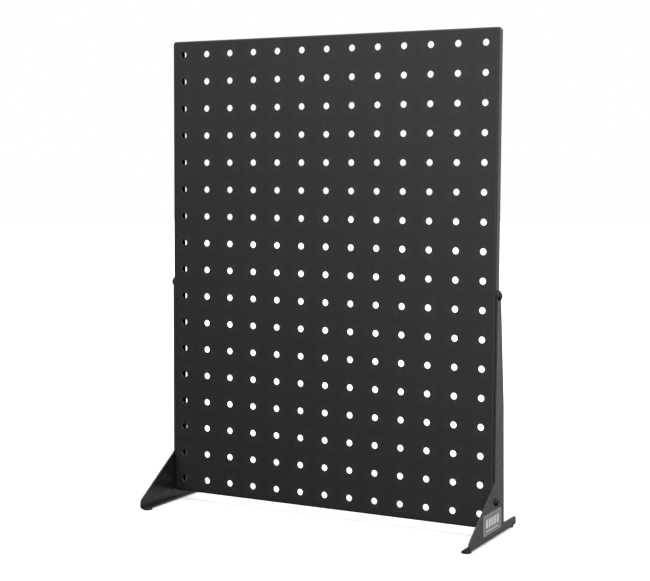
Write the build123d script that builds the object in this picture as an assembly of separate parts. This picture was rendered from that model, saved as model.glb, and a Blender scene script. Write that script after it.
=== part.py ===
from build123d import *
import math
import os

# Pegboard display stand: a folded sheet-steel panel with a square grid of peg holes, held upright
# by a mirror pair of bent foot brackets that are screwed to its side flanges.
# Millimetres. X runs along the panel, Y from front to back, Z up from the surface it stands on.
# The origin is on that surface, midway between the feet and midway along their length.

# Panel
PANEL_W = 328.8             # over the side flanges
PANEL_H = 431.8
PANEL_DEPTH = 10.0          # from the front face to the back of the return lips
PANEL_RISE = 7.6            # lower edge of the panel above the underside of the brackets
SHEET_T = 1.0
SHEET_BEND = 0.6            # inside bend radius
LIP_W = 7.1                 # return lip, measured from the outside of its flange
SEAM = 2.0                  # how far a folded edge runs into the flat sheet

# Peg holes
PITCH = 25.4
PEG_HOLE_D = 6.35
LEAST_MARGIN = 8.0          # no hole centre is nearer than this to an edge of the panel

# Foot brackets
PLATE_T = 1.6
PLATE_BEND = 0.8            # inside radius of the bend along the base
BASE_FLANGE_W = 7.5         # base flange, measured from the outside of the upright
FRONT_REACH = 55.9          # foot in front of the panel's front face
REAR_REACH = 56.2           # foot behind the panel's front face
ARM_H = 215.7               # top of the arm above the underside of the bracket
ARM_SETBACK = 1.5           # front edge of the arm behind the panel's front face
ARM_TOP_W = 7.6
ARM_WAIST_W = 18.8          # width of the arm where its rear edge turns
ARM_WAIST_H = 114.7
ARM_FOOT_W = 23.6           # width of the arm where it meets the tail
GUSSET_H = 46.2             # where the sloping front edge starts
TOE_H = 8.1                 # upright front end of the foot
TAIL_H = 8.6
ARM_ROUND = 3.0
WAIST_ROUND = 12.0
GUSSET_ROUND = 4.0
TOE_ROUND = 4.0
HEEL_ROUND = 2.5            # inside corner between arm and tail
TAIL_ROUND = 3.5
FLANGE_ROUND = 1.5

# Screws and nuts
SCREW_D = 4.0
SCREW_LENGTH = 8.0
SCREW_CLEARANCE = 0.25      # all round, in the arm and in the panel
THREAD_CLEARANCE = 0.05     # all round, between the screw and the nut's bore
HEAD_D = 7.6
HEAD_H = 2.2
HEAD_RIM = 0.35             # straight edge under the domed head
HEAD_FLAT_D = 3.6
SOCKET_AF = 2.5
SOCKET_DEPTH = 1.4
TIP_CHAMFER = 0.5
UPPER_SCREW_DROP = 4.9      # below the top of the arm
LOWER_SCREW_H = 31.4        # above the underside of the bracket
NUT_PLAY = 0.5              # between the nut's flats and the sheet in front and behind
NUT_H = 3.2
NUT_FACE_INSET = 0.4        # raised round bearing face, inside the flats
NUT_FACE_H = 0.3
NUT_CHAMFER = 0.5

# Label plate and rubber pads
LABEL_W = 43.5
LABEL_H = 18.5
LABEL_T = 0.4
LABEL_ROUND = 1.5
LABEL_CENTRE_BACK = -4.6    # behind the panel's front face
LABEL_CENTRE_H = 15.9       # above the underside of the bracket
PAD_D = 9.0
PAD_T = 1.0
PAD_ROUND = 0.5
PAD_INSET = 5.2             # pad centre inside the outer face of the upright
PAD_END_GAP = 5.0           # pad centre from each end of the foot

# Worked-out places
BEND_OUT = SHEET_T + SHEET_BEND
FOOT_LENGTH = FRONT_REACH + REAR_REACH
FRONT_Y = FRONT_REACH - FOOT_LENGTH / 2
BACK_Y = FRONT_Y + PANEL_DEPTH
BRACKET_Z = PAD_T
PANEL_BOTTOM_Z = BRACKET_Z + PANEL_RISE
PANEL_MID_Z = PANEL_BOTTOM_Z + PANEL_H / 2
PANEL_TOP_Z = PANEL_BOTTOM_Z + PANEL_H
PLATE_IN_X = PANEL_W / 2
PLATE_OUT_X = PLATE_IN_X + PLATE_T
FLANGE_IN_X = PLATE_OUT_X - BASE_FLANGE_W
SCREW_Y = (FRONT_Y + BACK_Y) / 2
SCREW_ZS = {
    "upper": BRACKET_Z + ARM_H - UPPER_SCREW_DROP,
    "lower": BRACKET_Z + LOWER_SCREW_H,
}
NUT_X = PANEL_W / 2 - SHEET_T
NUT_AF = PANEL_DEPTH - 2 * (SHEET_T + NUT_PLAY)
NUT_FACE_R = NUT_AF / 2 - NUT_FACE_INSET


def hole_count(length):
    """Peg holes that fit along a length of the panel."""
    return math.floor((length - 2 * LEAST_MARGIN) / PITCH) + 1


def bent_strip(points, thickness, inside_radius):
    """Section of a bent strip whose outer face follows points that always turn left."""
    outer = FilletPolyline(*points, radius=inside_radius + thickness)
    return make_face(offset(outer, amount=thickness, side=Side.LEFT))


def screw_bores(x_from, x_to):
    """Clearance holes for the upper and lower screw between two X positions."""
    radius = SCREW_D / 2 + SCREW_CLEARANCE
    bores = Part()
    for z in SCREW_ZS.values():
        bore = Plane.YZ.offset(x_from) * Pos(SCREW_Y, z) * Circle(radius)
        bores += extrude(bore, x_to - x_from)
    return bores


def front_sheet():
    """Flat front of the panel with its peg holes."""
    sheet = Rectangle(PANEL_W - 2 * BEND_OUT, PANEL_H - 2 * BEND_OUT)
    grid = GridLocations(PITCH, PITCH, hole_count(PANEL_W), hole_count(PANEL_H))
    sheet -= [place * Circle(PEG_HOLE_D / 2) for place in grid]
    return extrude(Plane.XZ.offset(-FRONT_Y) * Pos(0, PANEL_MID_Z) * sheet, -SHEET_T)


def side_fold():
    """Right-hand flange and return lip of the panel."""
    outside = PANEL_W / 2
    section = bent_strip(
        [
            (outside - BEND_OUT - SEAM, FRONT_Y),
            (outside, FRONT_Y),
            (outside, BACK_Y),
            (outside - LIP_W, BACK_Y),
        ],
        SHEET_T,
        SHEET_BEND,
    )
    fold = extrude(section, PANEL_H / 2 - BEND_OUT, both=True)
    return Pos(0, 0, PANEL_MID_Z) * fold


def top_fold():
    """Flange along the top edge of the panel."""
    section = bent_strip(
        [
            (BACK_Y, PANEL_TOP_Z),
            (FRONT_Y, PANEL_TOP_Z),
            (FRONT_Y, PANEL_TOP_Z - BEND_OUT - SEAM),
        ],
        SHEET_T,
        SHEET_BEND,
    )
    return extrude(Plane.YZ * section, PANEL_W / 2 - BEND_OUT, both=True)


def pegboard_panel():
    side = side_fold()
    top = top_fold()
    panel = front_sheet() + side + mirror(side, Plane.YZ)
    panel += top + mirror(top, Plane.XY.offset(PANEL_MID_Z))
    bores = screw_bores(NUT_X, PANEL_W / 2)
    return panel - bores - mirror(bores, Plane.YZ)


def bracket_outline():
    """Side view of a foot bracket, Y across and Z up."""
    arm_front = FRONT_Y + ARM_SETBACK
    corners = [
        (FRONT_Y - FRONT_REACH, 0, 0),
        (FRONT_Y - FRONT_REACH, TOE_H, TOE_ROUND),
        (arm_front, GUSSET_H, GUSSET_ROUND),
        (arm_front, ARM_H, ARM_ROUND),
        (arm_front + ARM_TOP_W, ARM_H, ARM_ROUND),
        (arm_front + ARM_WAIST_W, ARM_WAIST_H, WAIST_ROUND),
        (arm_front + ARM_FOOT_W, TAIL_H, HEEL_ROUND),
        (FRONT_Y + REAR_REACH, TAIL_H, TAIL_ROUND),
        (FRONT_Y + REAR_REACH, 0, 0),
    ]
    points = [(y, BRACKET_Z + z) for y, z, _ in corners]
    return make_face(FilletPolyline(*points, radius=[r for _, _, r in corners], close=True))


def foot_bracket():
    """Right foot bracket: the upright with the base flange bent inwards."""
    section = bent_strip(
        [(FLANGE_IN_X, BRACKET_Z), (PLATE_OUT_X, BRACKET_Z), (PLATE_OUT_X, BRACKET_Z + ARM_H)],
        PLATE_T,
        PLATE_BEND,
    )
    angle = extrude(Plane.XZ * section, FOOT_LENGTH / 2, both=True)
    side_view = extrude(Plane.YZ.offset(FLANGE_IN_X) * bracket_outline(), BASE_FLANGE_W)
    bracket = angle & side_view
    inner_corners = bracket.edges().filter_by(Axis.Z).group_by(Axis.X)[0]
    bracket = fillet(inner_corners, FLANGE_ROUND)
    return bracket - screw_bores(PLATE_IN_X, PLATE_OUT_X)


def screw(z):
    """Right-hand button-head screw with a hexagon socket, its axis along X."""
    shank = SCREW_D / 2
    rim = (HEAD_D / 2, HEAD_RIM)
    crown = (HEAD_FLAT_D / 2, HEAD_H)
    outline = [
        Polyline(
            crown,
            (0, HEAD_H),
            (0, -SCREW_LENGTH),
            (shank - TIP_CHAMFER, -SCREW_LENGTH),
            (shank, TIP_CHAMFER - SCREW_LENGTH),
            (shank, 0),
            (HEAD_D / 2, 0),
            rim,
        ),
        TangentArc(crown, rim, tangent=(1, 0)),
    ]
    body = revolve(Plane.XZ * make_face(outline), Axis.Z)
    hexagon = RegularPolygon(SOCKET_AF / 2, 6, major_radius=False)
    socket = extrude(Pos(0, 0, HEAD_H) * hexagon, -SOCKET_DEPTH)
    return Pos(PLATE_OUT_X, SCREW_Y, z) * Rot(0, 90, 0) * (body - socket)


def nut(z):
    """Right-hand hexagon nut with flats facing front and back, seated inside the flange."""
    body = extrude(RegularPolygon(NUT_AF / 2, 6, major_radius=False), NUT_H - NUT_FACE_H)
    cone = Pos(0, 0, (NUT_H - NUT_FACE_H) / 2) * Cylinder(NUT_AF / math.sqrt(3), NUT_H - NUT_FACE_H)
    body &= chamfer(cone.edges().filter_by(GeomType.CIRCLE), NUT_CHAMFER)
    body += extrude(Pos(0, 0, NUT_H - NUT_FACE_H) * Circle(NUT_FACE_R), NUT_FACE_H)
    body -= extrude(Circle(SCREW_D / 2 + THREAD_CLEARANCE), NUT_H)
    return Pos(NUT_X - NUT_H, SCREW_Y, z) * Rot(0, 90, 0) * body


def rubber_pad(y):
    """Right-hand stick-on pad under the base flange."""
    pad = Cylinder(PAD_D / 2, PAD_T, align=(Align.CENTER, Align.CENTER, Align.MIN))
    pad = fillet(pad.edges().group_by(Axis.Z)[0], PAD_ROUND)
    return Pos(PLATE_OUT_X - PAD_INSET, y, 0) * pad


def label_plate():
    """Thin plate on the outer face of the right foot bracket."""
    outline = RectangleRounded(LABEL_W, LABEL_H, LABEL_ROUND)
    place = Pos(FRONT_Y + LABEL_CENTRE_BACK, BRACKET_Z + LABEL_CENTRE_H)
    return extrude(Plane.YZ.offset(PLATE_OUT_X) * place * outline, LABEL_T)


def build():
    """Every piece of the stand by its node name."""
    pieces = {"pegboard_panel": pegboard_panel(), "label_plate": label_plate()}
    right_hand = {"foot_bracket": foot_bracket()}
    for height, z in SCREW_ZS.items():
        right_hand[f"{height}_screw"] = screw(z)
        right_hand[f"{height}_nut"] = nut(z)
    for end, side in (("front", -1), ("rear", 1)):
        right_hand[f"{end}_pad"] = rubber_pad(side * (FOOT_LENGTH / 2 - PAD_END_GAP))
    for name, piece in right_hand.items():
        pieces[f"right_{name}"] = piece
        pieces[f"left_{name}"] = mirror(piece, Plane.YZ)
    return pieces


os.makedirs("parts", exist_ok=True)
for node, shape in build().items():
    shape.label = node
    export_step(shape, f"parts/{node}.step")
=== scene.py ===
import math

import bmesh
import bpy
from mathutils import Matrix, Vector


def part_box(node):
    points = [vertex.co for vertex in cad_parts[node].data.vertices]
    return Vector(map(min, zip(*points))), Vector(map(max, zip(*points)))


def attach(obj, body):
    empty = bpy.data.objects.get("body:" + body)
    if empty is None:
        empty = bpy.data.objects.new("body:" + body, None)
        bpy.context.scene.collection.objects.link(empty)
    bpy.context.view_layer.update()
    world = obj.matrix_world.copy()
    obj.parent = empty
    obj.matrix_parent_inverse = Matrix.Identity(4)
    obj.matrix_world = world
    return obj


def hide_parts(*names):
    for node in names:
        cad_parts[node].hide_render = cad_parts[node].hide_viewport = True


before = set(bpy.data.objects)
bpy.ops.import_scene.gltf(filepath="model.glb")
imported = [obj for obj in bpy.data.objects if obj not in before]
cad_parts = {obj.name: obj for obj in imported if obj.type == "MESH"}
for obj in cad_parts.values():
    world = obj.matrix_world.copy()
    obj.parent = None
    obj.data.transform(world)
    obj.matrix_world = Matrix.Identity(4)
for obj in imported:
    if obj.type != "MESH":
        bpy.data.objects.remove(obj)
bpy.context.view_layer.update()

# Pegboard display stand, in metres: X along the panel, Y from front to back, Z up.
MM = 0.001
QUARTER = math.pi / 2
ON_PLANE = 0.01 * MM        # how near a plane or radius a point counts as being on it
WELD = 0.001 * MM           # points nearer to each other than this become one
OUTWARD = {"right": 1, "left": -1}

# Folded sheet of the panel
SHEET_T = 1.0 * MM
SHEET_BEND = 1.6 * MM       # outside radius of every fold
LIP_W = 7.1 * MM
PITCH = 25.4 * MM
PEG_HOLE_R = 3.0 * MM       # punched a quarter inch across, then narrowed by the coat
COLUMNS = 13
ROWS = 17
HOLE_SIDES = 32             # a multiple of 8, so that a cell has its four corners
FOLD_STEPS = 6
SHEET_SOFTENING = 0.12 * MM
SHEET_SOFTENING_STEPS = 2

# Foot brackets
PLATE_T = 1.6 * MM
PLATE_BEND = 2.4 * MM       # outside radius of the bend along the base
FLANGE_ROUND = 1.5 * MM
PLATE_SOFTENING = 0.2 * MM
PLATE_SOFTENING_STEPS = 3
CORNER_STEPS = 8
FLANGE_CORNER_STEPS = 4
SCREW_HOLE_R = 2.25 * MM
SCREW_HOLE_SIDES = 24
ARM_SETBACK = 1.5 * MM      # front edge of the arm behind the panel's front face
ARM_TOP_W = 7.6 * MM
ARM_WAIST_W = 18.8 * MM     # width of the arm where its rear edge turns
ARM_WAIST_H = 114.7 * MM
ARM_FOOT_W = 23.6 * MM
GUSSET_H = 46.2 * MM        # where the sloping front edge starts
TOE_H = 8.1 * MM
TAIL_H = 8.6 * MM
ARM_ROUND = 3.0 * MM
WAIST_ROUND = 12.0 * MM
GUSSET_ROUND = 4.0 * MM
TOE_ROUND = 4.0 * MM
HEEL_ROUND = 2.5 * MM
TAIL_ROUND = 3.5 * MM

# Screws, nuts, pads and label
THREAD_PITCH = 0.7 * MM
THREAD_DEPTH = 0.32 * MM
THREAD_RINGS = 8            # rings of vertices in each turn of the thread
SHANK_R = 2.0 * MM
TIP_CHAMFER = 0.5 * MM
HEAD_R = 3.8 * MM
HEAD_H = 2.2 * MM
HEAD_RIM = 0.35 * MM
HEAD_FLAT_R = 1.8 * MM
HEAD_SOFTENING = 0.1 * MM
DOME_STEPS = 10
SOCKET_AF = 2.5 * MM
SOCKET_DEPTH = 1.4 * MM
NUT_FACE_H = 0.3 * MM
NUT_FACE_INSET = 0.4 * MM
NUT_CHAMFER = 0.5 * MM
NUT_BORE_R = 2.05 * MM
PAD_ROUND = 0.5 * MM
PAD_TOP_SOFTENING = 0.12 * MM
LABEL_ROUND = 1.5 * MM
LABEL_SOFTENING = 0.08 * MM
LABEL_SOFTENING_STEPS = 2
TURNED_SIDES = 48
ROUND_STEPS = 5
SHARPEST = math.radians(40)  # edges that turn more than this stay sharp or are bevelled

# Print on the label, measured from its middle
BORDER_INSET = 1.3 * MM
BORDER_W = 0.4 * MM
BLOCKS = (-2, -1, 0, 1, 2)
BLOCK_STEP = 6.4 * MM
BLOCK_UP = 0.9 * MM
BLOCK_HALF_W = 2.3 * MM
BLOCK_HALF_H = 3.6 * MM
LINE_UP = -5.6 * MM
LINE_HALF_W = 15.2 * MM
LINE_HALF_H = 0.4 * MM

# Floor, in metres
FLOOR_R = 9.0
FLOOR_SIDES = 64
FLOOR_GLOW = 0.25


# ---------------------------------------------------------------- camera and light

CAMERA_FROM_PANEL = (0.5894375, -1.1323819, 0.0877343)  # from the middle of its front face
CAMERA_YAW = 27.506
CAMERA_PITCH = -4.570
CAMERA_ROLL = 0.295
CAMERA_LENS = 77.957
CAMERA_SENSOR = 36.0

# Brightness of the room by direction. A span is the start and end of a change: for the dark corner
# and the bright wall of the cosine of the angle to them, for the ground of the rise of a direction.
ROOM_LEVEL = 1.0
DARK_CORNER = (-0.608, -0.710, -0.355)
DARK_SPAN = (0.76, 0.96)
DARK_LEVEL = 0.02
BRIGHT_WALL = (0.15, -0.93, 0.33)
WALL_SPAN = (0.60, 1.0)
WALL_LEVEL = 1.15
GROUND_SPAN = (-0.46, 0.02)
GROUND_LEVEL = 0.15
OVERHEAD_POWER = 2.4
OVERHEAD_SPREAD = 70.0


def turn(degrees, axis):
    return Matrix.Rotation(math.radians(degrees), 4, axis)


def add_camera():
    camera = bpy.data.objects.new("camera", bpy.data.cameras.new("camera"))
    camera.data.lens = CAMERA_LENS
    camera.data.sensor_width = CAMERA_SENSOR
    aim = turn(CAMERA_YAW, "Z") @ turn(90 + CAMERA_PITCH, "X") @ turn(CAMERA_ROLL, "Z")
    low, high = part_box("pegboard_panel")
    panel_front = Vector(((low.x + high.x) / 2, low.y, (low.z + high.z) / 2))
    camera.matrix_world = Matrix.Translation(panel_front + Vector(CAMERA_FROM_PANEL)) @ aim
    bpy.context.scene.collection.objects.link(camera)
    bpy.context.scene.camera = camera


def add_overhead_light():
    """Very soft light from straight above, which keeps the floor white with faint contact shade."""
    light = bpy.data.lights.new("overhead", "SUN")
    light.energy = OVERHEAD_POWER
    light.angle = math.radians(OVERHEAD_SPREAD)
    lamp = bpy.data.objects.new("overhead", light)
    bpy.context.scene.collection.objects.link(lamp)


# ---------------------------------------------------------------- shader maths


class Wire:
    """A node's output that takes part in arithmetic by adding Math nodes."""

    def __init__(self, shader, socket):
        self.shader = shader
        self.socket = socket

    def _math(self, operation, first, second):
        return self.shader.add("ShaderNodeMath", {"operation": operation}, {0: first, 1: second})

    def __add__(self, other):
        return self._math("ADD", self, other)

    def __radd__(self, other):
        return self._math("ADD", other, self)

    def __sub__(self, other):
        return self._math("SUBTRACT", self, other)

    def __rsub__(self, other):
        return self._math("SUBTRACT", other, self)

    def __mul__(self, other):
        return self._math("MULTIPLY", self, other)

    def __rmul__(self, other):
        return self._math("MULTIPLY", other, self)

    def __gt__(self, other):
        return self._math("GREATER_THAN", self, other)

    def __lt__(self, other):
        return self._math("LESS_THAN", self, other)

    def __abs__(self):
        return self._math("ABSOLUTE", self, 0.0)


class Shader:
    """The node tree of a material or world, and the shader node that it ends in."""

    def __init__(self, owner, end="Principled BSDF"):
        self.owner = owner
        self.owner.use_nodes = True
        self.tree = self.owner.node_tree
        self.end = self.tree.nodes[end]

    def add(self, kind, settings=None, inputs=None, output=0):
        """Adds a node, sets it up, feeds its sockets and returns one of its outputs."""
        node = self.tree.nodes.new(kind)
        for key, value in (settings or {}).items():
            setattr(node, key, value)
        for key, value in (inputs or {}).items():
            self.feed(node.inputs[key], value)
        return Wire(self, node.outputs[output])

    def feed(self, socket, value):
        if isinstance(value, Wire):
            self.tree.links.new(value.socket, socket)
        else:
            socket.default_value = value

    def set(self, **values):
        """Feeds the last shader node; Base_Color stands for its Base Color socket."""
        for key, value in values.items():
            self.feed(self.end.inputs[key.replace("_", " ")], value)

    def place(self):
        return self.add("ShaderNodeTexCoord", output="Object")

    def noise(self, scale, detail=2.0, roughness=0.5):
        inputs = {"Vector": self.place(), "Scale": scale, "Detail": detail, "Roughness": roughness}
        return self.add("ShaderNodeTexNoise", inputs=inputs)

    def cells(self, scale):
        inputs = {"Vector": self.place(), "Scale": scale}
        return self.add("ShaderNodeTexVoronoi", inputs=inputs, output="Distance")

    def span(self, value, start, end, low=0.0, high=1.0):
        """Maps a value from start..end to low..high, smoothly and clamped."""
        inputs = {"Value": value, 1: start, 2: end, 3: low, 4: high}
        return self.add("ShaderNodeMapRange", {"interpolation_type": "SMOOTHSTEP"}, inputs)

    def mix(self, factor, first, second):
        """Mixes two colours."""
        inputs = {"Factor": factor, 6: first, 7: second}
        return self.add("ShaderNodeMix", {"data_type": "RGBA"}, inputs, output=2)

    def bump(self, height, strength, distance):
        inputs = {"Height": height, "Strength": strength, "Distance": distance}
        return self.add("ShaderNodeBump", inputs=inputs)

    def attribute(self, name):
        return self.add("ShaderNodeAttribute", {"attribute_name": name}, output="Fac")


def grey(level, tint=(1.0, 1.0, 1.0)):
    return (level * tint[0], level * tint[1], level * tint[2], 1.0)


# ---------------------------------------------------------------- finishes


def studio_world():
    """White to the camera; to the finishes a white room, dim below and dark at the front left."""
    world = bpy.data.worlds.new("studio")
    bpy.context.scene.world = world
    shader = Shader(world, "Background")
    direction = shader.place()
    dot = {"operation": "DOT_PRODUCT"}
    to_dark = shader.add("ShaderNodeVectorMath", dot, {0: direction, 1: DARK_CORNER}, "Value")
    to_wall = shader.add("ShaderNodeVectorMath", dot, {0: direction, 1: BRIGHT_WALL}, "Value")
    up = shader.add("ShaderNodeSeparateXYZ", inputs={"Vector": direction}, output="Z")
    room = shader.span(to_dark, *DARK_SPAN, ROOM_LEVEL, DARK_LEVEL)
    room = room + shader.span(to_wall, *WALL_SPAN, 0.0, WALL_LEVEL)
    level = room * shader.span(up, *GROUND_SPAN, GROUND_LEVEL, 1.0)
    seen = shader.add("ShaderNodeLightPath", output="Is Camera Ray")
    shader.set(Color=grey(1.0), Strength=level + seen * (1.0 - level))


def black_powder_coat():
    """Satin black powder coat: fine orange peel, faint sheen drift, thinner on every edge."""
    shader = Shader(bpy.data.materials.new("black_powder_coat"))
    peel = shader.noise(1500.0, 2.0)
    grain = shader.cells(2600.0)
    drift = shader.noise(9.0, 2.0)
    edge = shader.attribute("rim")
    worn = edge * shader.span(shader.noise(220.0, 3.0), 0.35, 0.7)
    body = shader.mix(drift, grey(0.0042), grey(0.0056))
    shader.set(
        Base_Color=shader.mix(worn * 0.45, body, grey(0.030)),
        Roughness=0.36 + drift * 0.03 + grain * 0.05 - worn * 0.04,
        Normal=shader.bump(peel + grain * 0.5, 0.20, 0.025 * MM),
    )
    return shader.owner


def black_oxide():
    """Blackened screw steel: smooth, faintly brown, brighter on worn edges."""
    shader = Shader(bpy.data.materials.new("black_oxide"))
    cloud = shader.noise(700.0, 4.0)
    edge = shader.attribute("rim")
    body = shader.mix(cloud, grey(0.014), grey(0.030, (1.0, 0.97, 0.93)))
    shader.set(
        Base_Color=shader.mix(edge * cloud, body, grey(0.12)),
        Roughness=0.26 + cloud * 0.16,
        Normal=shader.bump(cloud, 0.15, 0.02 * MM),
    )
    shader.end.inputs["Metallic"].default_value = 0.75
    return shader.owner


def bright_zinc():
    """Zinc plating on the nuts: cool grey with a cloudy sheen."""
    shader = Shader(bpy.data.materials.new("bright_zinc"))
    cloud = shader.noise(900.0, 4.0)
    fine = shader.noise(6000.0, 2.0)
    shader.set(
        Base_Color=shader.mix(cloud, (0.46, 0.48, 0.50, 1.0), (0.66, 0.67, 0.68, 1.0)),
        Roughness=0.22 + cloud * 0.18,
        Normal=shader.bump(fine, 0.2, 0.01 * MM),
    )
    shader.end.inputs["Metallic"].default_value = 1.0
    return shader.owner


def black_rubber():
    """Moulded rubber of the stick-on pads: matt, dusty in patches."""
    shader = Shader(bpy.data.materials.new("black_rubber"))
    dust = shader.noise(500.0, 4.0)
    fine = shader.noise(5200.0, 2.0)
    shader.set(
        Base_Color=shader.mix(dust, grey(0.010), grey(0.024)),
        Roughness=0.70 + dust * 0.18,
        Normal=shader.bump(fine, 0.3, 0.03 * MM),
    )
    return shader.owner


def label_print():
    """Satin grey label film with a faint border, a row of plain blocks and a line below them."""
    shader = Shader(bpy.data.materials.new("label_film"))
    low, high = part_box("label_plate")
    middle = (low + high) / 2
    offset = {"Vector": shader.place(), "Location": (-middle.x, -middle.y, -middle.z)}
    parts = shader.add("ShaderNodeMapping", inputs=offset)
    across = shader.add("ShaderNodeSeparateXYZ", inputs={"Vector": parts}, output="Y")
    up = shader.add("ShaderNodeSeparateXYZ", inputs={"Vector": parts}, output="Z")

    def block(centre_y, centre_z, half_y, half_z):
        inside_y = abs(across - centre_y) < half_y
        return inside_y * (abs(up - centre_z) < half_z)

    half_w = (high.y - low.y) / 2
    half_h = (high.z - low.z) / 2
    border_out = block(0.0, 0.0, half_w - BORDER_INSET, half_h - BORDER_INSET)
    inset = BORDER_INSET + BORDER_W
    border = border_out - block(0.0, 0.0, half_w - inset, half_h - inset)
    ink = block(0.0, LINE_UP, LINE_HALF_W, LINE_HALF_H)
    for column in BLOCKS:
        ink = ink + block(column * BLOCK_STEP, BLOCK_UP, BLOCK_HALF_W, BLOCK_HALF_H)
    film = shader.mix(shader.noise(900.0, 3.0), grey(0.175), grey(0.190))
    shader.set(
        Base_Color=shader.mix(ink, shader.mix(border, film, grey(0.27)), grey(0.62)),
        Roughness=0.42 - ink * 0.08 + shader.noise(1400.0) * 0.06,
        Normal=shader.bump(ink * 0.6 + shader.noise(3000.0) * 0.1, 0.2, 0.02 * MM),
    )
    return shader.owner


def pale_floor():
    """Plain pale floor that glows a little, so that it stays white."""
    shader = Shader(bpy.data.materials.new("pale_floor"))
    shader.set(Base_Color=shader.mix(shader.noise(3.0), grey(0.86), grey(0.88)), Roughness=0.7)
    shader.end.inputs["Emission Strength"].default_value = FLOOR_GLOW
    return shader.owner


# ---------------------------------------------------------------- modelling helpers


def edges_of(vertices):
    """Every edge at some vertices, once each and always in the same order."""
    return list(dict.fromkeys(e for v in vertices for e in v.link_edges))


def edges_at(bm, axis, value, among=None):
    """Edges that lie in the plane where a coordinate has a value."""
    def on_plane(vertex):
        return abs(vertex.co[axis] - value) < ON_PLANE
    return [e for e in (among or bm.edges) if all(on_plane(v) for v in e.verts)]


def fold(bm, edges, centre, axis, angle, straight):
    """Bends a sheet's edges round an axis, then runs them on along a straight flange."""
    bent = bmesh.ops.spin(
        bm, geom=edges, cent=centre, axis=axis, angle=angle, steps=FOLD_STEPS, use_merge=False
    )
    ends = [e for e in bent["geom_last"] if isinstance(e, bmesh.types.BMEdge)]
    run = bmesh.ops.extrude_edge_only(bm, edges=ends)["geom"]
    bmesh.ops.translate(bm, vec=straight, verts=[v for v in run if isinstance(v, bmesh.types.BMVert)])
    return [e for e in run if isinstance(e, bmesh.types.BMEdge)]


def soften(bm, offset, segments):
    """Bevels every sharp edge and marks the new rims for the finish."""
    rim = bm.verts.layers.float.new("rim")
    bm.normal_update()
    sharp = [e for e in bm.edges if len(e.link_faces) == 2 and e.calc_face_angle(0) > SHARPEST]
    made = bmesh.ops.bevel(
        bm,
        geom=sharp,
        offset=offset,
        offset_type="OFFSET",
        segments=segments,
        profile=0.5,
        affect="EDGES",
        material=-1,
        clamp_overlap=True,
    )
    for face in made["faces"]:
        for vertex in face.verts:
            vertex[rim] = 1.0


def round_corner(bm, vertex, radius):
    """Rounds a corner of a flat outline to a true radius."""
    one, two = [e.other_vert(vertex).co - vertex.co for e in vertex.link_edges]
    offset = radius / math.tan(one.angle(two) / 2)
    bmesh.ops.bevel(
        bm,
        geom=[vertex],
        offset=offset,
        offset_type="OFFSET",
        segments=CORNER_STEPS,
        profile=0.5,
        affect="VERTICES",
        material=-1,
    )


def turned(bm, profile, closed=False):
    """Spins an outline of (radius, height) points round the Z axis into a solid."""
    points = [bm.verts.new((radius, 0, height)) for radius, height in profile]
    line = [bm.edges.new(pair) for pair in zip(points, points[1:])]
    if closed:
        line.append(bm.edges.new((points[-1], points[0])))
    bmesh.ops.spin(
        bm, geom=points + line, cent=(0, 0, 0), axis=(0, 0, 1), angle=2 * math.pi,
        steps=TURNED_SIDES, use_merge=True,
    )
    bmesh.ops.remove_doubles(bm, verts=bm.verts, dist=WELD)
    bmesh.ops.recalc_face_normals(bm, faces=bm.faces)


def stand_out(bm, side, place):
    """Turns a piece's Z axis to point away from the panel and moves it to a place."""
    facing = Matrix.Translation(place) @ Matrix.Rotation(OUTWARD[side] * QUARTER, 4, "Y")
    bmesh.ops.transform(bm, matrix=facing, verts=bm.verts)


def arc(centre, radius, start, end, steps):
    """Points from one angle to another round a centre, both ends included."""
    angles = [start + (end - start) * step / steps for step in range(steps + 1)]
    return [
        (centre[0] + radius * math.cos(angle), centre[1] + radius * math.sin(angle))
        for angle in angles
    ]


def add_object(bm, name, material):
    """Turns a bmesh into an object of the scene, with one material."""
    mesh = bpy.data.meshes.new(name)
    bm.to_mesh(mesh)
    bm.free()
    mesh.materials.append(material)
    item = bpy.data.objects.new(name, mesh)
    bpy.context.scene.collection.objects.link(item)
    return item


def finish_piece(bm, name, material, node):
    """Turns a bmesh into a smooth-shaded piece that stands for a CAD node."""
    for face in bm.faces:
        face.smooth = True
    for edge in bm.edges:
        edge.smooth = edge.calc_face_angle(0) < SHARPEST
    piece = add_object(bm, name, material)
    weighted = piece.modifiers.new("weighted_normals", "WEIGHTED_NORMAL")
    weighted.keep_sharp = True
    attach(piece, "root")
    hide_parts(node)


# ---------------------------------------------------------------- panel


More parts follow.
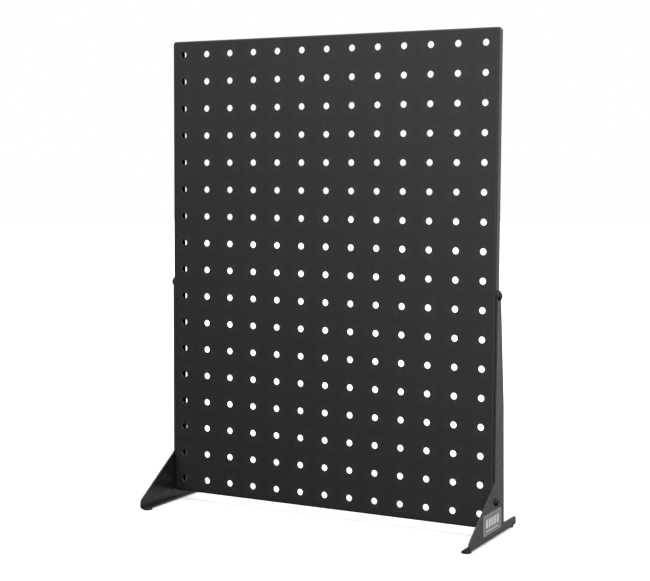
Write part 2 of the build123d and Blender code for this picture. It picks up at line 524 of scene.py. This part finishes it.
def punched_sheet(bm, low, high):
    """Flat front of the panel: a grid of square cells with a round hole in each."""
    bmesh.ops.create_circle(bm, cap_ends=False, segments=HOLE_SIDES, radius=PEG_HOLE_R)
    cell = bmesh.ops.extrude_edge_only(bm, edges=bm.edges[:])["geom"]
    for vertex in [v for v in cell if isinstance(v, bmesh.types.BMVert)]:
        vertex.co *= PITCH / 2 / max(abs(vertex.co.x), abs(vertex.co.y))
    for step, count in (((PITCH, 0, 0), COLUMNS), ((0, PITCH, 0), ROWS)):
        everything = bm.verts[:] + bm.edges[:] + bm.faces[:]
        bmesh.ops.spin(
            bm, geom=everything, cent=(0, 0, 0), axis=(0, 0, 1), dvec=step, angle=0.0,
            steps=count - 1, use_duplicate=True,
        )
    bmesh.ops.remove_doubles(bm, verts=bm.verts, dist=ON_PLANE)
    centre = Vector(((COLUMNS - 1) * PITCH / 2, (ROWS - 1) * PITCH / 2, 0))
    bmesh.ops.translate(bm, vec=-centre, verts=bm.verts)
    bmesh.ops.rotate(bm, cent=(0, 0, 0), matrix=Matrix.Rotation(QUARTER, 3, "X"), verts=bm.verts)
    middle = (low + high) / 2
    bmesh.ops.translate(bm, vec=(middle.x, low.y, middle.z), verts=bm.verts)
    for vertex in bm.verts:
        vertex.co.x = min(max(vertex.co.x, low.x + SHEET_BEND), high.x - SHEET_BEND)
        vertex.co.z = min(max(vertex.co.z, low.z + SHEET_BEND), high.z - SHEET_BEND)


def screw_hole(bm, x, place):
    """Opens a round hole in the panel's flat flange at an X position."""
    def in_reach(face):
        flat = all(abs(v.co.x - x) < ON_PLANE for v in face.verts)
        return flat and abs(face.calc_center_median().z - place.z) < 2 * SCREW_HOLE_R
    near = [f for f in bm.faces if in_reach(f)]
    outline = [e for f in near for e in f.edges if sum(g in near for g in e.link_faces) == 1]
    bmesh.ops.delete(bm, geom=near, context="FACES")
    facing = Matrix.Translation((x, place.y, place.z)) @ Matrix.Rotation(QUARTER, 4, "Y")
    ring = bmesh.ops.create_circle(
        bm, segments=SCREW_HOLE_SIDES, radius=SCREW_HOLE_R, matrix=facing
    )["verts"]
    outline += edges_of(ring)
    bmesh.ops.triangle_fill(bm, use_beauty=True, use_dissolve=False, edges=outline)


def screw_place(side, height):
    """A point on the axis of one of the four screws."""
    low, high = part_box(f"{side}_{height}_nut")
    return (low + high) / 2


def pegboard_panel(material):
    low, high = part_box("pegboard_panel")
    bm = bmesh.new()
    punched_sheet(bm, low, high)
    depth = high.y - low.y
    flat = [e for e in bm.edges if e.is_boundary]
    for side, x in ((1, high.x), (-1, low.x)):
        bend_x = x - side * SHEET_BEND
        edges = edges_at(bm, 0, bend_x, flat)
        centre = (bend_x, low.y + SHEET_BEND, 0)
        flange = fold(bm, edges, centre, (0, 0, side), QUARTER, (0, depth - 2 * SHEET_BEND, 0))
        edges = edges_at(bm, 1, high.y - SHEET_BEND, flange)
        centre = (bend_x, high.y - SHEET_BEND, 0)
        fold(bm, edges, centre, (0, 0, side), QUARTER, (-side * (LIP_W - SHEET_BEND), 0, 0))
    for side, z in ((1, high.z), (-1, low.z)):
        bend_z = z - side * SHEET_BEND
        edges = edges_at(bm, 2, bend_z, flat)
        centre = (0, low.y + SHEET_BEND, bend_z)
        fold(bm, edges, centre, (-side, 0, 0), QUARTER, (0, depth - SHEET_BEND, 0))
    bmesh.ops.remove_doubles(bm, verts=bm.verts, dist=WELD)
    for hand, x in (("right", high.x), ("left", low.x)):
        for height in ("upper", "lower"):
            screw_hole(bm, x, screw_place(hand, height))
    bmesh.ops.recalc_face_normals(bm, faces=bm.faces)
    front = min(bm.faces, key=lambda f: f.calc_center_median().y)
    if front.normal.y > 0:
        bmesh.ops.reverse_faces(bm, faces=bm.faces)
    bmesh.ops.solidify(bm, geom=bm.faces[:], thickness=SHEET_T)
    soften(bm, SHEET_SOFTENING, SHEET_SOFTENING_STEPS)
    finish_piece(bm, "panel_sheet", material, "pegboard_panel")


# ---------------------------------------------------------------- foot brackets


def bracket_corners(low, high):
    """Side outline of the upright above its base bend: (back, up, corner radius)."""
    front, rear, base = low.y, high.y, low.z
    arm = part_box("pegboard_panel")[0].y + ARM_SETBACK
    return (
        (front, base + PLATE_BEND, 0.0),
        (front, base + TOE_H, TOE_ROUND),
        (arm, base + GUSSET_H, GUSSET_ROUND),
        (arm, high.z, ARM_ROUND),
        (arm + ARM_TOP_W, high.z, ARM_ROUND),
        (arm + ARM_WAIST_W, base + ARM_WAIST_H, WAIST_ROUND),
        (arm + ARM_FOOT_W, base + TAIL_H, HEEL_ROUND),
        (rear, base + TAIL_H, TAIL_ROUND),
        (rear, base + PLATE_BEND, 0.0),
    )


def upright(bm, low, high, screw_places):
    """Flat upright in the outer plane, with its rounded corners and screw holes."""
    corners = bracket_corners(low, high)
    points = [bm.verts.new((high.x, y, z)) for y, z, _ in corners]
    bm.faces.new(points)
    for vertex, (_, _, radius) in zip(points, corners):
        if radius:
            round_corner(bm, vertex, radius)
    bmesh.ops.delete(bm, geom=bm.faces[:], context="FACES_ONLY")
    for place in screw_places:
        facing = Matrix.Translation((high.x, place.y, place.z)) @ Matrix.Rotation(QUARTER, 4, "Y")
        bmesh.ops.create_circle(bm, segments=SCREW_HOLE_SIDES, radius=SCREW_HOLE_R, matrix=facing)
    bmesh.ops.triangle_fill(bm, use_beauty=True, use_dissolve=False, edges=bm.edges[:])


def foot_bracket(side, material):
    name = "right_foot_bracket"
    low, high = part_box(name)
    bm = bmesh.new()
    upright(bm, low, high, [screw_place("right", height) for height in ("upper", "lower")])
    base = edges_at(bm, 2, low.z + PLATE_BEND)
    centre = (high.x - PLATE_BEND, 0, low.z + PLATE_BEND)
    flange_run = high.x - low.x - PLATE_BEND
    inner = fold(bm, base, centre, (0, 1, 0), QUARTER, (-flange_run, 0, 0))
    for vertex in dict.fromkeys(v for e in edges_at(bm, 0, low.x, inner) for v in e.verts):
        bmesh.ops.bevel(
            bm, geom=[vertex], offset=FLANGE_ROUND, segments=FLANGE_CORNER_STEPS, profile=0.5,
            affect="VERTICES", material=-1,
        )
    bmesh.ops.recalc_face_normals(bm, faces=bm.faces)
    outer = max(bm.faces, key=lambda f: f.calc_center_median().x)
    if outer.normal.x < 0:
        bmesh.ops.reverse_faces(bm, faces=bm.faces)
    bmesh.ops.solidify(bm, geom=bm.faces[:], thickness=PLATE_T)
    soften(bm, PLATE_SOFTENING, PLATE_SOFTENING_STEPS)
    if side == "left":
        bmesh.ops.scale(bm, vec=(-1, 1, 1), verts=bm.verts)
        bmesh.ops.reverse_faces(bm, faces=bm.faces)
    finish_piece(bm, f"{side}_foot_plate", material, f"{side}_foot_bracket")


# ---------------------------------------------------------------- screws and nuts


def cut_thread(bm, length):
    """Draws the shank's rings of vertices in to a helical thread that fades out at its ends."""
    for vertex in bm.verts:
        radius = math.hypot(vertex.co.x, vertex.co.y)
        from_tip = vertex.co.z + length - TIP_CHAMFER
        from_head = -vertex.co.z
        if abs(radius - SHANK_R) > ON_PLANE or min(from_tip, from_head) < 0:
            continue
        turns = vertex.co.z / THREAD_PITCH - math.atan2(vertex.co.y, vertex.co.x) / (2 * math.pi)
        fade = min(1.0, from_tip / THREAD_PITCH, from_head / THREAD_PITCH)
        groove = THREAD_DEPTH * fade * abs(2 * (turns % 1.0) - 1)
        shrink = (radius - groove) / radius
        vertex.co.x *= shrink
        vertex.co.y *= shrink


def sink_socket(bm):
    """Closes the top of the head with a flat ring round a hexagon socket."""
    rim = bm.verts.layers.float.new("rim")
    ring = [e for e in bm.edges if e.is_boundary]
    top = Matrix.Translation((0, 0, HEAD_H))
    corner_r = SOCKET_AF / math.sqrt(3)
    hexagon = bmesh.ops.create_circle(bm, segments=6, radius=corner_r, matrix=top)["verts"]
    mouth = edges_of(hexagon)
    bmesh.ops.triangle_fill(bm, use_beauty=True, use_dissolve=False, edges=ring + mouth)
    walls = bmesh.ops.extrude_edge_only(bm, edges=mouth)["geom"]
    floor_verts = [v for v in walls if isinstance(v, bmesh.types.BMVert)]
    bmesh.ops.translate(bm, vec=(0, 0, -SOCKET_DEPTH), verts=floor_verts)
    floor_edges = [e for e in walls if isinstance(e, bmesh.types.BMEdge)]
    bmesh.ops.contextual_create(bm, geom=floor_edges)
    for vertex in hexagon:
        vertex[rim] = 1.0


def button_screw(side, height, material):
    """Button-head screw with a hexagon socket and a real thread."""
    node = f"{side}_{height}_screw"
    low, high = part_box(node)
    length = high.x - low.x - HEAD_H
    ring_step = THREAD_PITCH / THREAD_RINGS
    rings = math.floor((length - TIP_CHAMFER) / ring_step)
    rise = HEAD_H - HEAD_RIM
    spread = HEAD_R - HEAD_FLAT_R
    dome_r = (spread ** 2 + rise ** 2) / (2 * rise)
    dome = (HEAD_FLAT_R, HEAD_H - dome_r)
    profile = [(0, -length), (SHANK_R - TIP_CHAMFER, -length)]
    profile += [(SHANK_R, TIP_CHAMFER - length + step * ring_step) for step in range(rings)]
    profile += [(SHANK_R, 0), (HEAD_R - HEAD_SOFTENING, 0), (HEAD_R, HEAD_SOFTENING)]
    profile += arc(dome, dome_r, math.atan2(dome_r - rise, spread), QUARTER, DOME_STEPS)
    bm = bmesh.new()
    turned(bm, profile)
    cut_thread(bm, length)
    sink_socket(bm)
    bmesh.ops.recalc_face_normals(bm, faces=bm.faces)
    outer_x = high.x if side == "right" else low.x
    middle = (low + high) / 2
    stand_out(bm, side, (outer_x - OUTWARD[side] * HEAD_H, middle.y, middle.z))
    finish_piece(bm, f"{side}_{height}_button_screw", material, node)


def hexagon_nut(side, height, material):
    """Hexagon nut with chamfered corners and a raised bearing face towards the flange."""
    node = f"{side}_{height}_nut"
    low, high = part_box(node)
    flats = (high.y - low.y) / 2
    corners = 2 * flats / math.sqrt(3)
    top = high.x - low.x - NUT_FACE_H
    face_r = flats - NUT_FACE_INSET
    shoulder = corners - NUT_CHAMFER
    bm = bmesh.new()
    turned(
        bm,
        [
            (NUT_BORE_R, 0), (shoulder, 0), (corners, 0), (corners, top), (shoulder, top),
            (face_r, top), (face_r, top + NUT_FACE_H), (NUT_BORE_R, top + NUT_FACE_H),
        ],
        closed=True,
    )
    for vertex in bm.verts:
        radius = math.hypot(vertex.co.x, vertex.co.y)
        if abs(radius - corners) > ON_PLANE:
            continue
        around = math.degrees(math.atan2(vertex.co.y, vertex.co.x)) % 60 - 30
        reach = flats / math.cos(math.radians(around))
        vertex.co.x *= reach / corners
        vertex.co.y *= reach / corners
        drop = max(0.0, reach - shoulder)
        vertex.co.z += drop if vertex.co.z < top / 2 else -drop
    bmesh.ops.remove_doubles(bm, verts=bm.verts, dist=WELD)
    inner_x = low.x if side == "right" else high.x
    middle = (low + high) / 2
    stand_out(bm, side, (inner_x, middle.y, middle.z))
    finish_piece(bm, f"{side}_{height}_hexagon_nut", material, node)


# ---------------------------------------------------------------- pads and label


def rubber_pad(side, end, material):
    """Stick-on pad with a rounded lower rim."""
    node = f"{side}_{end}_pad"
    low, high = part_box(node)
    radius = (high.x - low.x) / 2
    top = high.z - low.z
    profile = [(0, 0)]
    profile += arc((radius - PAD_ROUND, PAD_ROUND), PAD_ROUND, -QUARTER, 0, ROUND_STEPS)
    profile += [(radius, top - PAD_TOP_SOFTENING), (radius - PAD_TOP_SOFTENING, top), (0, top)]
    bm = bmesh.new()
    turned(bm, profile)
    middle = (low + high) / 2
    bmesh.ops.translate(bm, vec=(middle.x, middle.y, low.z), verts=bm.verts)
    finish_piece(bm, f"{side}_{end}_rubber_pad", material, node)


def foot_label(material):
    """Thin rounded plate on the outer face of the right foot."""
    low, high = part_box("label_plate")
    bm = bmesh.new()
    outline = ((low.y, low.z), (high.y, low.z), (high.y, high.z), (low.y, high.z))
    corners = [bm.verts.new((high.x, y, z)) for y, z in outline]
    bm.faces.new(corners)
    for vertex in corners:
        round_corner(bm, vertex, LABEL_ROUND)
    bmesh.ops.solidify(bm, geom=bm.faces[:], thickness=high.x - low.x)
    soften(bm, LABEL_SOFTENING, LABEL_SOFTENING_STEPS)
    finish_piece(bm, "foot_label", material, "label_plate")


# ---------------------------------------------------------------- floor


def studio_floor():
    """Round floor that only the camera sees, so that the finishes reflect the room alone."""
    bm = bmesh.new()
    bmesh.ops.create_circle(bm, cap_ends=True, segments=FLOOR_SIDES, radius=FLOOR_R)
    floor = add_object(bm, "floor", pale_floor())
    floor.visible_diffuse = False
    floor.visible_glossy = False


# ---------------------------------------------------------------- build

add_camera()
add_overhead_light()
studio_world()
bpy.context.scene.view_settings.view_transform = "Standard"

coat = black_powder_coat()
oxide = black_oxide()
zinc = bright_zinc()
rubber = black_rubber()

pegboard_panel(coat)
for hand in ("right", "left"):
    foot_bracket(hand, coat)
    for level in ("upper", "lower"):
        button_screw(hand, level, oxide)
        hexagon_nut(hand, level, zinc)
    for end in ("front", "rear"):
        rubber_pad(hand, end, rubber)
foot_label(label_print())

studio_floor()
